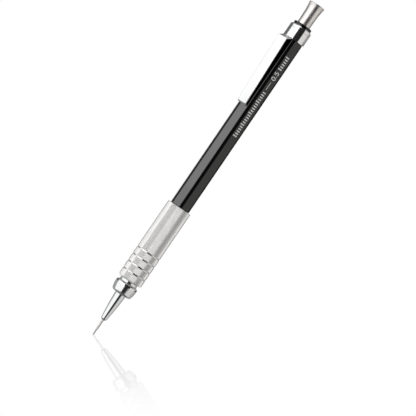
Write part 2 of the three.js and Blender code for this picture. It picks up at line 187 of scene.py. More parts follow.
def fillet(before, here, after, radius, steps=5):
    """Points on an arc that rounds the corner at `here`, with one more on each straight beside it.

    The outer two keep the shading of the straights flat.
    """
    back, on = (before - here), (after - here)
    half = back.angle(on) / 2
    shorter = min(back.length, on.length)
    tangent = min(radius / math.tan(half), 0.42 * shorter) if half > 1e-3 else 0.42 * shorter
    margin = min(0.3 * tangent, 0.06 * shorter)
    back, on = back.normalized(), on.normalized()
    centre = here + (back + on).normalized() * (tangent / math.cos(half))
    first, last = here + back * tangent - centre, here + on * tangent - centre
    sweep = first.angle_signed(last)
    arc = [centre + Matrix.Rotation(-sweep * i / steps, 2) @ first for i in range(steps + 1)]
    return [here + back * (tangent + margin)] + arc + [here + on * (tangent + margin)]


def between(start, end, leaving, arriving, steps):
    """Points strictly between two others, on a curve with the given directions at its ends."""
    length = (end - start).length
    leaving, arriving = leaving * length, arriving * length
    points = []
    for i in range(1, steps):
        t = i / steps
        points.append((2 * t ** 3 - 3 * t ** 2 + 1) * start + (t ** 3 - 2 * t ** 2 + t) * leaving
                      + (3 * t ** 2 - 2 * t ** 3) * end + (t ** 3 - t ** 2) * arriving)
    return points


def refined(outline, edge, gentle=math.radians(27), steps=4):
    """The outline with its sharp corners rounded and its gently turning runs drawn as curves."""
    closed = outline[0][0] > 1e-3
    points = [Vector(p) for p in outline]
    count = len(points)

    def at(i):
        return points[i % count] if closed else points[max(0, min(count - 1, i))]

    def turn(i):
        return turn_angle(at(i - 1), at(i), at(i + 1))

    def is_gentle(i):
        return 1e-3 < turn(i) < gentle

    def heading(i, along):
        if not is_gentle(i):
            return along
        return ((at(i) - at(i - 1)).normalized() + (at(i + 1) - at(i)).normalized()).normalized()

    result = []
    for i in range(count):
        result += fillet(at(i - 1), at(i), at(i + 1), edge) if turn(i) >= gentle else [at(i)]
        along = (at(i + 1) - at(i)).normalized()
        if is_gentle(i) or is_gentle(i + 1):
            result += between(at(i), at(i + 1), heading(i, along), heading(i + 1, along), steps)
    return [(max(0.0, p.x), p.y) for p in result]


# ------------------------------------------------------------------ meshes


def skin(bm, loops, closed):
    """Joins a run of vertex loops with faces. A loop of one vertex is a tip."""
    pairs = list(zip(loops, loops[1:]))
    if closed:
        pairs.append((loops[-1], loops[0]))
    for lower, upper in pairs:
        count = max(len(lower), len(upper))
        for i in range(count):
            j = (i + 1) % count
            corners = [lower[i % len(lower)], lower[j % len(lower)],
                       upper[j % len(upper)], upper[i % len(upper)]]
            distinct = list(dict.fromkeys(corners))
            if len(distinct) > 2:
                bm.faces.new(distinct)


def turned(outline, sides, radius_at=None):
    """A bmesh of the outline turned about Z. radius_at(radius, z, angle) may vary the radius."""
    bm = bmesh.new()
    loops = []
    for radius, z in outline:
        if radius < 1e-4:
            loops.append([bm.verts.new((0, 0, z * MM))])
            continue
        loop = []
        for i in range(sides):
            angle = TAU * i / sides
            r = radius_at(radius, z, angle) if radius_at else radius
            loop.append(bm.verts.new((r * math.cos(angle) * MM, r * math.sin(angle) * MM, z * MM)))
        loops.append(loop)
    skin(bm, loops, closed=outline[0][0] > 1e-3)
    return bm


def swept(sections, closed=False):
    """A bmesh through a run of sections, each a list of points in mm. Open runs are capped."""
    bm = bmesh.new()
    loops = [[bm.verts.new(Vector(p) * MM) for p in section] for section in sections]
    skin(bm, loops, closed)
    if not closed:
        bm.faces.new(loops[0])
        bm.faces.new(loops[-1])
    return bm


def new_object(name, bm, materials):
    bmesh.ops.recalc_face_normals(bm, faces=bm.faces)
    mesh = bpy.data.meshes.new(name)
    bm.to_mesh(mesh)
    bm.free()
    mesh.shade_smooth()
    mesh.set_sharp_from_angle(angle=SHARP_ANGLE)
    for material in materials:
        mesh.materials.append(material)
    obj = bpy.data.objects.new(name, mesh)
    bpy.context.scene.collection.objects.link(obj)
    return obj


def fit(obj, body, nodes):
    """The piece rides on a body and stands for CAD nodes, which it hides."""
    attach(obj, body)
    if nodes:
        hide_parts(*nodes)
    return obj


def turned_piece(node, body, material, sides=SMALL_SIDES, edge=EDGE):
    """A fine turned piece in place of a CAD node with the same outline."""
    bm = turned(refined(cad_outline(node), edge), sides)
    return fit(new_object(node + "_fine", bm, [material]), body, [node])


# ------------------------------------------------------------------ material tools


class Shader:
    """A node material, built up by short calls. Positions come from object coordinates, in metres."""

    def __init__(self, name):
        self.material = bpy.data.materials.new(name)
        self.material.use_nodes = True
        self.tree = self.material.node_tree
        self.tree.nodes.clear()
        self.surface = self.add("ShaderNodeBsdfPrincipled")
        self.output = self.add("ShaderNodeOutputMaterial")
        self.link(self.surface.outputs[0], self.output.inputs["Surface"])
        self.place = self.add("ShaderNodeTexCoord").outputs["Object"]

    def add(self, kind, **settings):
        node = self.tree.nodes.new(kind)
        for key, value in settings.items():
            setattr(node, key, value)
        return node

    def link(self, source, target):
        self.tree.links.new(source, target)

    def set(self, **values):
        for key, value in values.items():
            socket = self.surface.inputs[key.replace("_", " ")]
            if isinstance(value, bpy.types.NodeSocket):
                self.link(value, socket)
            else:
                socket.default_value = value
        return self

    def stretched(self, x, y, z):
        node = self.add("ShaderNodeVectorMath", operation="MULTIPLY")
        self.link(self.place, node.inputs[0])
        node.inputs[1].default_value = (x, y, z)
        return node.outputs[0]

    def noise(self, size_mm, detail=3.0, place=None):
        """Smooth noise from 0 to 1 with features about size_mm across."""
        node = self.add("ShaderNodeTexNoise")
        self.link(place or self.place, node.inputs["Vector"])
        node.inputs["Scale"].default_value = 1 / (size_mm * MM)
        node.inputs["Detail"].default_value = detail
        return node.outputs["Fac"]

    def ranged(self, value, low, high, source_low=0.3, source_high=0.7):
        node = self.add("ShaderNodeMapRange")
        self.link(value, node.inputs["Value"])
        node.inputs["From Min"].default_value = source_low
        node.inputs["From Max"].default_value = source_high
        node.inputs["To Min"].default_value = low
        node.inputs["To Max"].default_value = high
        return node.outputs["Result"]

    def mixed(self, value, low, high):
        """A colour between two, by a value from 0 to 1."""
        node = self.add("ShaderNodeMix", data_type="RGBA")
        self.link(value, node.inputs["Factor"])
        node.inputs["A"].default_value = (*low, 1)
        node.inputs["B"].default_value = (*high, 1)
        return node.outputs["Result"]

    def bump(self, height, depth_mm, strength=1.0, under=None):
        node = self.add("ShaderNodeBump")
        self.link(height, node.inputs["Height"])
        node.inputs["Distance"].default_value = depth_mm * MM
        node.inputs["Strength"].default_value = strength
        if under:
            self.link(under, node.inputs["Normal"])
        return node.outputs["Normal"]


# ------------------------------------------------------------------ materials


def polished_metal(name, tint, roughness=0.05, depth_mm=0.0006):
    """Plated metal: a mirror with faint handling marks and a slight waviness."""
    s = Shader(name)
    smears = s.noise(2.5, 4)
    grain = s.noise(0.25, 2)
    darker = tuple(0.93 * c for c in tint)
    s.set(
        Base_Color=s.mixed(smears, darker, tint),
        Metallic=1.0,
        Roughness=s.ranged(smears, roughness * 0.7, roughness * 1.6),
        Normal=s.bump(grain, depth_mm, 0.5),
    )
    return s.material


def blasted_metal(name):
    """Satin metal: fine blasted grain that spreads reflections along the pencil."""
    s = Shader(name)
    grain = s.noise(0.16, 3)
    patches = s.noise(1.6, 3, s.stretched(1, 1, 0.35))
    tangent = s.add("ShaderNodeTangent", direction_type="RADIAL", axis="Z")
    s.set(
        Base_Color=s.mixed(patches, (0.64, 0.635, 0.63), (0.72, 0.715, 0.70)),
        Metallic=1.0,
        Roughness=s.ranged(patches, 0.46, 0.54),
        Anisotropic=0.9,
        Anisotropic_Rotation=0.25,
        Tangent=tangent.outputs[0],
        Normal=s.bump(grain, 0.006, 0.8),
    )
    return s.material


def glossy_plastic(name):
    """Black moulded plastic with a polished skin, hair-fine scratches and faint fingerprints."""
    s = Shader(name)
    prints = s.noise(3.0, 5)
    swirl = s.noise(0.9, 2)
    scratches = s.noise(0.05, 1, s.stretched(1, 1, 0.01))
    skin_normal = s.bump(swirl, 0.0012, 0.5)
    s.set(
        Base_Color=s.mixed(prints, (0.0035, 0.0035, 0.0038), (0.0055, 0.0055, 0.006)),
        Roughness=s.ranged(prints, 0.05, 0.11),
        IOR=1.6,
        Normal=s.bump(scratches, 0.0002, 0.3, under=skin_normal),
    )
    return s.material


def dull_metal(name, tint, roughness):
    """Turned metal with fine rings left by the tool."""
    s = Shader(name)
    rings = s.noise(0.08, 2, s.stretched(0.05, 0.05, 1))
    stains = s.noise(0.8, 3)
    s.set(
        Base_Color=s.mixed(stains, tuple(0.82 * c for c in tint), tint),
        Metallic=1.0,
        Roughness=s.ranged(rings, roughness * 0.8, roughness * 1.25),
        Normal=s.bump(rings, 0.004, 0.5),
    )
    return s.material


def soft_plastic(name, tint, roughness=0.5):
    """Moulded plastic with a fine matt grain."""
    s = Shader(name)
    grain = s.noise(0.12, 2)
    flow = s.noise(2.0, 2, s.stretched(1, 1, 0.2))
    s.set(
        Base_Color=s.mixed(flow, tuple(0.85 * c for c in tint), tint),
        Roughness=s.ranged(grain, roughness * 0.85, roughness * 1.15),
        Normal=s.bump(grain, 0.004, 0.5),
    )
    return s.material


def vinyl(name):
    """White eraser vinyl, slightly greyed with graphite at its rubbed end."""
    s = Shader(name)
    grain = s.noise(0.2, 4)
    smudge = s.noise(1.2, 4)
    height = s.add("ShaderNodeSeparateXYZ")
    s.link(s.place, height.inputs[0])
    top = ends("eraser")[1] * MM
    worn = s.ranged(height.outputs["Z"], 0, 1, top - 1.5 * MM, top)
    marks = s.add("ShaderNodeMath", operation="MULTIPLY")
    s.link(worn, marks.inputs[0])
    s.link(smudge, marks.inputs[1])
    s.set(
        Base_Color=s.mixed(marks.outputs[0], (0.82, 0.81, 0.78), (0.42, 0.42, 0.43)),
        Roughness=0.75,
        Subsurface_Weight=0.15,
        Subsurface_Scale=0.4 * MM,
        Normal=s.bump(grain, 0.02, 0.5),
    )
    return s.material


def graphite(name):
    """Pressed graphite: dark, with a low grey sheen and fine grain."""
    s = Shader(name)
    grain = s.noise(0.05, 3)
    s.set(
        Base_Color=s.mixed(grain, (0.50, 0.50, 0.51), (0.72, 0.72, 0.73)),
        Metallic=0.5,
        Roughness=s.ranged(grain, 0.35, 0.5),
        Normal=s.bump(grain, 0.004, 0.6),
    )
    return s.material


def ink(name):
    """Pale printed ink, a little thin in places."""
    s = Shader(name)
    cover = s.noise(0.25, 3)
    s.set(
        Base_Color=s.mixed(cover, (0.36, 0.36, 0.36), (0.50, 0.50, 0.495)),
        Roughness=0.55,
        Normal=s.bump(cover, 0.004, 0.5),
    )
    return s.material


def rubber(name):
    s = Shader(name)
    grain = s.noise(0.1, 3)
    s.set(
        Base_Color=s.mixed(grain, (0.014, 0.014, 0.014), (0.03, 0.03, 0.03)),
        Roughness=0.8,
        Normal=s.bump(grain, 0.01, 0.5),
    )
    return s.material


CHROME = polished_metal("chrome_plate", (0.88, 0.885, 0.89))
NICKEL = polished_metal("warm_nickel", (0.86, 0.835, 0.81), 0.3)
POLISHED_GROOVE = polished_metal("polished_groove", (0.80, 0.79, 0.78), 0.12)
GRIP_SATIN = blasted_metal("blasted_grip")
BLACK_GLOSS = glossy_plastic("black_gloss_plastic")
SLEEVE_STEEL = dull_metal("sleeve_steel", (0.95, 0.93, 0.91), 0.5)
BRASS = dull_metal("turned_brass", (0.80, 0.60, 0.26), 0.22)
SPRING_STEEL = dull_metal("spring_steel", (0.62, 0.62, 0.63), 0.2)
DARK_PLASTIC = soft_plastic("dark_plastic", (0.05, 0.055, 0.06))
VINYL = vinyl("eraser_vinyl")
GRAPHITE = graphite("graphite")
BUSH_RUBBER = rubber("bush_rubber")
PRINT_INK = ink("print_ink")


# ------------------------------------------------------------------ tip


def thread_radius(radius, z, angle):
    """The spigot's thread: a triangular ridge that winds round as z rises."""
    if not THREAD_START <= z <= THREAD_END or radius < SPIGOT_RADIUS - SPIGOT_WALL:
        return radius
    phase = (z / THREAD_PITCH - angle / TAU) % 1
    ridge = 1 - abs(2 * phase - 1)
    run_in = min(1.0, (z - THREAD_START) / THREAD_PITCH, (THREAD_END - z) / THREAD_PITCH)
    return SPIGOT_RADIUS - THREAD_DEPTH * (1 - ridge * run_in)


def make_tip():
    """The cone, with a real thread wound on its spigot in place of the CAD's plain ridges."""
    outline = []
    threaded = False
    for radius, z in cad_outline("tip_cone"):
        on_thread = THREAD_START - THREAD_MARGINS[0] < z < THREAD_END + THREAD_MARGINS[1]
        if radius < SPIGOT_RADIUS - SPIGOT_WALL or not on_thread:
            outline.append((radius, z))
        elif not threaded:
            steps = round((THREAD_END - THREAD_START) / THREAD_STEP)
            root = SPIGOT_RADIUS - THREAD_DEPTH
            outline += [(root, THREAD_START + i * THREAD_STEP) for i in range(steps + 1)]
            threaded = True
    bm = turned(refined(outline, EDGE), LARGE_SIDES, thread_radius)
    fit(new_object("tip_cone_fine", bm, [CHROME]), "tip", ["tip_cone"])
    turned_piece("lead_sleeve", "tip", SLEEVE_STEEL, edge=FINE_EDGE)
    turned_piece("lead_retainer", "tip", BUSH_RUBBER)


def make_leads():
    turned_piece("writing_lead", "lead", GRAPHITE, 40, FINE_EDGE)
    for node in ("spare_lead_1", "spare_lead_2", "spare_lead_3"):
        low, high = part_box(node)
        centre = (low + high) / 2
        radius, bottom, top = (high.x - low.x) / 2 / MM, low.z / MM, high.z / MM
        outline = [(0, bottom), (radius, bottom), (radius, top), (0, top)]
        bm = turned(refined(outline, FINE_EDGE), 32)
        bmesh.ops.translate(bm, verts=bm.verts, vec=(centre.x, centre.y, 0))
        fit(new_object(node + "_fine", bm, [GRAPHITE]), "push_rod", [node])


# ------------------------------------------------------------------ grip and barrel


def make_grip():
    """The grip tube, blasted all over, with a polished floor in each of its grooves."""
    outline = cad_outline("metal_grip")
    floor = ends("metal_grip")[2] - GROOVE_DEPTH
    grooves = 0
    for (r0, z0), (r1, z1) in zip(outline, outline[1:] + outline[:1]):
        if max(abs(r0 - floor), abs(r1 - floor)) > FLOOR_TOLERANCE:
            continue
        inner, outer = floor - GROOVE_DEPTH, floor + GROOVE_POLISH
        bm = turned([(inner, z0), (outer, z0), (outer, z1), (inner, z1)], LARGE_SIDES)
        grooves += 1
        fit(new_object(f"groove_floor_{grooves}", bm, [POLISHED_GROOVE]), "barrel", [])
    return turned_piece("metal_grip", "barrel", GRIP_SATIN, LARGE_SIDES)


def hexagon_corners(inset):
    """The barrel's twelve edges as (x, y) points, each side moved in by `inset`."""
    apothem = ACROSS_FLATS / 2
    corner_apothem = apothem / math.cos(math.pi / 6) - CORNER_WIDTH / 2 * math.tan(math.pi / 6)
    sides = []
    for i in range(12):
        direction = CLIP_DIRECTION + FLAT_TURN + i * math.pi / 6
        sides.append((direction, (apothem if i % 2 == 0 else corner_apothem) - inset))
    corners = []
    for (a, p), (b, q) in zip(sides, sides[1:] + sides[:1]):
        spread = math.sin(b - a)
        corners.append(Vector(((p * math.sin(b) - q * math.sin(a)) / spread,
                               (q * math.cos(a) - p * math.cos(b)) / spread)))
    return corners


def hexagon_loop(inset=0.0, spacing=0.3):
    """The barrel's section: flat sides, with a small rounding at each of the twelve edges."""
    corners = hexagon_corners(inset)
    count = len(corners)
    roundings = []
    for i in range(count):
        roundings.append(fillet(corners[i - 1], corners[i], corners[(i + 1) % count], CORNER_EDGE, 4))
    loop = []
    for i, rounding in enumerate(roundings):
        start, end = rounding[-1], roundings[(i + 1) % count][0]
        steps = round((corners[(i + 1) % count] - corners[i]).length / spacing)
        loop += rounding + [start.lerp(end, k / steps) for k in range(1, steps)]
    return loop


def circle_loop(radius):
    """A circle with its points in the same directions as the plain section's."""
    return [p.normalized() * radius for p in hexagon_loop()]


def make_barrel():
    """One moulding: tenon, hexagon with bevelled ends, boss, rear rim and a stepped bore."""
    tenon_front, rim_end, _ = ends("hex_barrel")
    hex_front, hex_rear = ends("metal_grip")[1] + GRIP_GAP, ends("clip_band")[0] - BAND_GAP
    rim_start = ends("end_collar")[1] + BAND_GAP
    quarter = [math.pi / 2 * i / 4 for i in range(5)]
    stations = [
        (tenon_front, circle_loop(TENON_RADIUS - END_CHAMFER)),
        (tenon_front + END_CHAMFER, circle_loop(TENON_RADIUS)),
        (hex_front, circle_loop(TENON_RADIUS)),
    ]
    stations += [(hex_front + HEX_BEVEL * (1 - math.cos(a)), hexagon_loop(HEX_BEVEL * (1 - math.sin(a))))
                 for a in quarter]
    past_bevel = 1.3 * HEX_BEVEL  # a section just inside each bevel keeps the flats' shading flat
    stations += [(hex_front + past_bevel, hexagon_loop()), (hex_rear - past_bevel, hexagon_loop())]
    stations += [(hex_rear - HEX_BEVEL * (1 - math.sin(a)), hexagon_loop(HEX_BEVEL * (1 - math.cos(a))))
                 for a in quarter]
    stations += [
        (hex_rear, circle_loop(BOSS_RADIUS)),
        (rim_start, circle_loop(BOSS_RADIUS)),
        (rim_start, circle_loop(RIM_RADIUS)),
    ]
    for a in quarter:
        radius = RIM_RADIUS + END_CHAMFER * (math.cos(a) - 1)
        stations.append((rim_end + END_CHAMFER * (math.sin(a) - 1), circle_loop(radius)))
    stations += [
        (rim_end, circle_loop(BORE_RADIUS + END_CHAMFER)),
        (rim_end - END_CHAMFER, circle_loop(BORE_RADIUS)),
        (COUNTERBORE_END, circle_loop(BORE_RADIUS)),
        (COUNTERBORE_END, circle_loop(COUNTERBORE_RADIUS)),
        (tenon_front, circle_loop(COUNTERBORE_RADIUS)),
    ]
    bm = swept([[(p.x, p.y, z) for p in loop] for z, loop in stations], closed=True)
    fit(new_object("hex_barrel_fine", bm, [BLACK_GLOSS]), "barrel", ["hex_barrel"])


# ------------------------------------------------------------------ printed marks


def ribbon(points, width):
    """The outline of a stroke along a path of (x, y) points, as a closed polygon."""
    left, right = [], []
    count = len(points)
    for i, point in enumerate(points):
        p = Vector(point)
        ahead = Vector(points[min(i + 1, count - 1)]) - Vector(points[max(i - 1, 0)])
        side = Vector((-ahead.y, ahead.x)).normalized() * width / 2
        left.append(p + side)
        right.append(p - side)
    return left + right[::-1]


def arc_points(cx, cy, rx, ry, start, end, steps):
    return [(cx + rx * math.cos(math.radians(start + (end - start) * i / steps)),
             cy + ry * math.sin(math.radians(start + (end - start) * i / steps))) for i in range(steps + 1)]


def print_strokes():
    """Stroke paths of "0.5", a rule and bars, in mm: x runs along the barrel, y up the characters."""
    h, w = PRINT_HEIGHT, 0.62 * PRINT_HEIGHT
    zero = arc_points(w / 2, h / 2, w / 2, h / 2, 90, 450, 28)
    x = w + 0.55
    dot = [(x - 0.16, 0.16), (x + 0.16, 0.16)]
    x += 0.5
    five = [(x + w * 0.92, h), (x + w * 0.12, h), (x + w * 0.05, h * 0.56)]
    bowl = arc_points(x + w * 0.42, h * 0.33, w * 0.52, h * 0.33, 128, -140, 18)
    rule = [(x, h * 0.5) for x in RULE_ENDS]
    strokes = [(zero, PRINT_STROKE), (dot, PRINT_STROKE), (five, FLAG_STROKE), (bowl, PRINT_STROKE)]
    strokes.append((rule, RULE_WIDTH))
    bars = [first + i for first, count in BAR_ROWS for i in range(count)]
    for i, x in enumerate(bars):
        strokes.append(([(x, 0), (x, h if i % 5 == 0 else SHORT_BAR * h)], BAR_WIDTH))
    return strokes


def make_print():
    """The printed lead size and bars, raised by the ink's own thickness from one flat."""
    normal_angle = CLIP_DIRECTION + FLAT_TURN + math.pi / 3
    normal = Vector((math.cos(normal_angle), math.sin(normal_angle), 0))
    up_text = Vector((-math.sin(normal_angle), math.cos(normal_angle), 0)) * -1
    along = Vector((0, 0, 1))
    start = normal * ACROSS_FLATS / 2 + along * PRINT_START + up_text * (PRINT_ASIDE - PRINT_HEIGHT / 2)
    bm = bmesh.new()
    for path, width in print_strokes():
        closed = (Vector(path[0]) - Vector(path[-1])).length < 1e-6
        outline = ribbon(path, width)
        bottom = [bm.verts.new((start + along * p.x + up_text * p.y) * MM) for p in outline]
        top = [bm.verts.new(v.co + normal * PRINT_DEPTH * MM) for v in bottom]
        half = len(path)
        for i in range(half - 1):
            a, b, c, d = i, i + 1, 2 * half - 2 - i, 2 * half - 1 - i
            bm.faces.new((top[a], top[b], top[c], top[d]))
            bm.faces.new((bottom[d], bottom[c], bottom[b], bottom[a]))
            bm.faces.new((bottom[a], bottom[b], top[b], top[a]))
            bm.faces.new((bottom[c], bottom[d], top[d], top[c]))
        if closed:
            bmesh.ops.remove_doubles(bm, verts=bottom + top, dist=1e-7)
        else:
            for a, b in ((0, 2 * half - 1), (half - 1, half)):
                bm.faces.new((bottom[a], top[a], top[b], bottom[b]))
    return fit(new_object("lead_size_print", bm, [PRINT_INK]), "barrel", [])


# ------------------------------------------------------------------ feed mechanism


def make_mechanism():
    turned_piece("spring_housing", "barrel", BRASS)
    turned_piece("clutch_ring", "clutch", BRASS)
    turned_piece("chuck_stem", "push_rod", BRASS)
    turned_piece("reservoir_connector", "push_rod", DARK_PLASTIC)
    turned_piece("lead_reservoir", "push_rod", DARK_PLASTIC, LARGE_SIDES)
    for index in range(3):
        make_jaw(index)
    make_spring()


def make_jaw(index, count=3, slit=0.2, steps=14):
    """A finger of the chuck: a turned outline swept through its share of a turn, less the slits."""
    outline = [
        (0.31, 20.6), (1.02, 20.6), (1.4, 20.95), (1.4, 21.1),
        (1.04, 22.7), (0.92, 22.8), (0.92, 28.4), (0.31, 28.4),
    ]
    middle = TAU * index / count
    sections = []
    points = refined(outline, FINE_EDGE)
    for i in range(steps + 1):
        section = []
        for radius, z in points:
            half = math.pi / count - math.asin(slit / 2 / radius)
            angle = middle + half * (2 * i / steps - 1)
            section.append((radius * math.cos(angle), radius * math.sin(angle), z))
        sections.append(section)
    name = f"chuck_jaw_{index + 1}"
    jaw = new_object(name + "_fine", swept(sections), [BRASS])
    fit(jaw, f"jaw_{index + 1}", [name])


def make_spring(coil=1.55, sides=14, steps_per_turn=28):
    """A compression spring with a closed turn at each end."""
    front, rear, _ = ends("return_spring")
    bottom, top = front + SPRING_WIRE, rear - SPRING_WIRE
    closed_pitch = 2.1 * SPRING_WIRE
    open_pitch = (top - bottom - 2 * closed_pitch) / (SPRING_TURNS - 2)
    sections = []
    steps = SPRING_TURNS * steps_per_turn
    for i in range(steps + 1):
        turn = SPRING_TURNS * i / steps
        z = bottom + closed_pitch * min(turn, 1) + open_pitch * min(max(turn - 1, 0), SPRING_TURNS - 2)
        z += closed_pitch * max(turn - SPRING_TURNS + 1, 0)
        out = Vector((math.cos(TAU * turn), math.sin(TAU * turn), 0))
        sections.append([
            out * (coil + SPRING_WIRE * math.cos(TAU * k / sides))
            + Vector((0, 0, z + SPRING_WIRE * math.sin(TAU * k / sides)))
            for k in range(sides)
        ])
    spring = fit(new_object("return_spring_fine", swept(sections), [SPRING_STEEL]),
                 "barrel", ["return_spring"])
    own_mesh(spring)


# ------------------------------------------------------------------ rear end


def make_rear():
    turned_piece("push_button", "cap", NICKEL, LARGE_SIDES)
    turned_piece("eraser", "eraser_plug", VINYL, edge=0.25)
    turned_piece("end_collar", "barrel", CHROME, LARGE_SIDES, FINE_EDGE)


def clip_path():
    """The outer face from the root in the band to the foot, as (radius, z) points."""
    foot, root, _ = ends("clip_arm")
    knee = -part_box("clip_arm")[0].x / MM
    corners = [Vector(p) for p in (
        (CLIP_ROOT_RADIUS - 0.35, root + 0.25),
        (CLIP_ROOT_RADIUS, root),
        (knee + 0.05, root - CLIP_KNEE_DROP),
        (knee - CLIP_HEEL[0], foot + CLIP_HEEL[1]),
        (knee - CLIP_FOOT[0], foot + CLIP_FOOT[1]),
    )]
    root_rounding, knee_rounding, heel_rounding = 0.25, 0.15, 0.12
    path = [corners[0]]
    for i, radius in ((1, root_rounding), (2, knee_rounding), (3, heel_rounding)):
        path += fillet(corners[i - 1], corners[i], corners[i + 1], radius, 6)
    path.append(corners[-1])
    return path


def strip_section(outer, normal, bow):
    """A rounded rectangle across the strip. `bow` sets each side back from the middle."""
    half = CLIP_WIDTH / 2 - CLIP_CORNER
    outside, inside = -CLIP_CORNER, CLIP_CORNER - CLIP_THICKNESS
    section = []

    def add(y, n):
        p = outer + normal * n
        section.append((-(p.x - bow(y)), y, p.y))

    for centre_y, centre_n, start in (
        (half, outside, 0), (-half, outside, 90), (-half, inside, 180), (half, inside, 270),
    ):
        for k in range(5):
            a = math.radians(start + 90 * k / 4)
            add(centre_y + CLIP_CORNER * math.cos(a), centre_n + CLIP_CORNER * math.sin(a))
        if start in (0, 180):
            sign, n = (-1, 0.0) if start == 0 else (1, -CLIP_THICKNESS)
            for k in range(1, 8):
                add(centre_y + sign * 2 * half * k / 8, n)
    return section


def clip_arm_mesh(path, band_radius):
    """The strip along a path. It leaves the band with the band's own curve, and ends flat."""
    top = path[0].y
    flat_from = top - 1.6
    sections = []
    for i, point in enumerate(path):
        ahead = path[min(i + 1, len(path) - 1)] - path[max(i - 1, 0)]
        normal = Vector((-ahead.y, ahead.x)).normalized()
        share = min(1.0, max(0.0, (point.y - flat_from) / (top - flat_from)))

        def bow(y, share=share):
            return share * (band_radius - math.sqrt(band_radius ** 2 - y ** 2))

        sections.append(strip_section(point, normal, bow))
    foot = sections[-1]
    centre = sum((Vector(p) for p in foot), Vector()) / len(foot)
    sections.append([centre + (Vector(p) - centre) * 0.9 - Vector((0, 0, 0.06)) for p in foot])
    return swept(sections)


def make_clip():
    """The band and its arm as one bent strip."""
    band_radius = ends("clip_band")[2]
    arm = new_object("clip_arm_draft", clip_arm_mesh(clip_path(), band_radius), [CHROME])
    bm = turned(refined(cad_outline("clip_band"), FINE_EDGE), LARGE_SIDES)
    band = new_object("pocket_clip", bm, [CHROME])
    union = band.modifiers.new("union", "BOOLEAN")
    union.operation = "UNION"
    union.solver = "EXACT"
    union.object = arm
    bpy.context.view_layer.update()
    joined = bpy.data.meshes.new_from_object(band.evaluated_get(bpy.context.evaluated_depsgraph_get()))
    band.modifiers.clear()
    band.data = joined
    joined.set_sharp_from_angle(angle=SHARP_ANGLE)
    bpy.data.objects.remove(arm)
    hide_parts("clip_band", "clip_arm")
    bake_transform(band)


# ------------------------------------------------------------------ studio


def across():
    """The picture's right, before the lean, and the direction from the pencil to the camera."""
    a = CAMERA_AZIMUTH
    return Vector((math.cos(a), math.sin(a), 0)), Vector((math.sin(a), -math.cos(a), 0))


def picture_up():
    right, _ = across()
    return Vector((0, 0, 1)) * math.cos(LEAN) - right * math.sin(LEAN)


def make_camera():
    right, back = across()
    aim = Vector((0, 0, AIM_HEIGHT)) + right * AIM_ASIDE
    data = bpy.data.cameras.new("camera")
    data.sensor_width = 36
    data.lens = data.sensor_width * CAMERA_DISTANCE / FRAME_WIDTH
    data.clip_start, data.clip_end = 0.01, 10
    camera = bpy.data.objects.new("camera", data)
    bpy.context.scene.collection.objects.link(camera)
    up = picture_up()
    side = up.cross(back)
    turn = Matrix((side, up, back)).transposed()
    camera.matrix_world = Matrix.Translation(aim + back * CAMERA_DISTANCE) @ turn.to_4x4()
    bpy.context.scene.camera = camera


def add_node(tree, kind, **settings):
    node = tree.nodes.new(kind)
    for key, value in settings.items():
        setattr(node, key, value)
    return node


def vector_math(tree, operation, *inputs):
    node = add_node(tree, "ShaderNodeVectorMath", operation=operation)
    for i, value in enumerate(inputs):
        if isinstance(value, bpy.types.NodeSocket):
            tree.links.new(value, node.inputs[i])
        else:
            node.inputs[i].default_value = value
    return node.outputs["Value" if operation in ("DOT_PRODUCT", "LENGTH") else "Vector"]


def scalar_math(tree, operation, *inputs, clamp=False):
    node = add_node(tree, "ShaderNodeMath", operation=operation, use_clamp=clamp)
    for i, value in enumerate(inputs):
        if isinstance(value, bpy.types.NodeSocket):
            tree.links.new(value, node.inputs[i])
        else:
            node.inputs[i].default_value = value
    return node.outputs[0]


def sweep_ramp(tree, turn, stops, peak):
    """Brightness round the pencil. Stops are (degrees from the camera, brightness, warmth)."""
    node = add_node(tree, "ShaderNodeValToRGB")
    ramp = node.color_ramp
    while len(ramp.elements) > 1:
        ramp.elements.remove(ramp.elements[-1])
    for i, (degrees, level, warmth) in enumerate(stops):
        element = ramp.elements[0] if i == 0 else ramp.elements.new((degrees + 180) / 360)
        element.position = (degrees + 180) / 360
        value = level / peak
        element.color = (value, value * (1 - 0.4 * warmth), value * (1 - warmth), 1)
    tree.links.new(turn, node.inputs["Fac"])
    return node.outputs["Color"]


BRIGHTEST = 4.0  # the top of every ramp's scale

# What a piece sees round it, as (degrees from the camera, brightness, warmth). Plus is to the right.
# Level with the barrel: a white wall on the left with a bright lamp in it, the dark camera side, a
# paler, warmer wall on the right, and a dark room behind.
LAMP_STOPS = [
    (-180, 0.14, 0), (-100, 0.17, 0), (-90, 1.2, 0), (-62, 1.25, 0), (-57, 3.45, 0), (-43, 3.45, 0),
    (-38, 2.2, 0), (-20, 2.2, 0), (-15, 0.03, 0), (43, 0.015, 0), (49, 0.78, 0.03), (95, 0.78, 0.06),
    (106, 0.3, 0.02), (116, 0.06, 0), (180, 0.06, 0),
]
# Just above it: the same without the lamp, and with a paler back.
LEVEL_STOPS = [
    (-180, 0.14, 0), (-100, 0.17, 0), (-90, 1.2, 0), (-19, 1.1, 0), (-14, 0.03, 0), (43, 0.015, 0),
    (49, 0.78, 0.03), (95, 0.78, 0.06), (108, 0.44, 0.02), (180, 0.2, 0),
]
# Just below it: with light from the table on the sides.
LOWER_STOPS = [
    (-180, 0.30, 0), (-100, 0.42, 0), (-90, 1.1, 0), (-12, 1.1, 0), (-6, 0.03, 0), (24, 0.02, 0),
    (38, 0.30, 0.02), (49, 0.72, 0.03), (95, 0.66, 0.04), (108, 0.45, 0.02), (180, 0.30, 0),
]
# Far below: the table in the pencil's own shade.
BELOW_STOPS = [
    (-180, 0.2, 0), (-100, 0.3, 0), (-80, 0.22, 0), (-24, 0.22, 0), (-14, 0.12, 0), (43, 0.10, 0),
    (55, 0.05, 0.02), (100, 0.05, 0.02), (115, 0.3, 0), (180, 0.2, 0),
]
